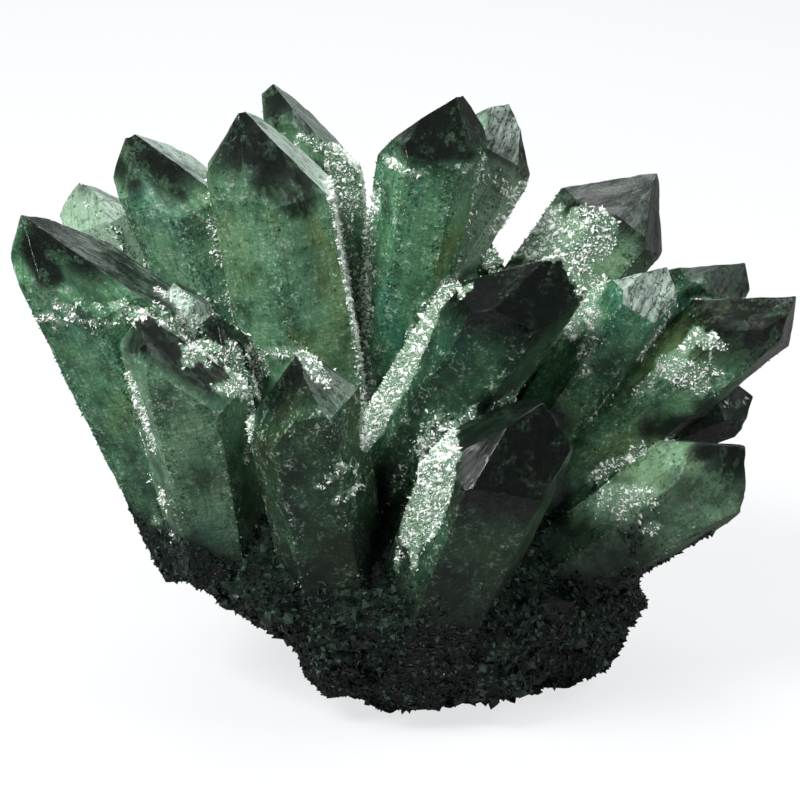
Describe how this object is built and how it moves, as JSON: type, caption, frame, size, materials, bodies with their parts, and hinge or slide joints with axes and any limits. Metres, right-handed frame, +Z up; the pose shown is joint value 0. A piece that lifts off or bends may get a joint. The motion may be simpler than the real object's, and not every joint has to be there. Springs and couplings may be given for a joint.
{
  "type": "chlorite quartz crystal cluster",
  "caption": "Hand-sized cluster of stout green included quartz points that fan out of a dark drusy matrix, cut flat below to stand on.",
  "frame": {"origin": "in the flat foot that is cut under the matrix, below the middle of the fan of crystals", "axes": "+Z up, +X to the right and +Y to the back, seen from the front, where the widest side shows"},
  "size_m": [0.168, 0.1248, 0.132],
  "materials": {
    "quartz": "glassy tips over milky green, chlorite-filled bodies with crusts of white druse",
    "matrix": "dark, rough, drusy rock"
  },
  "bodies": {
    "root": {"quartz_crystals": "quartz", "matrix": "matrix"}
  },
  "joints": []
}
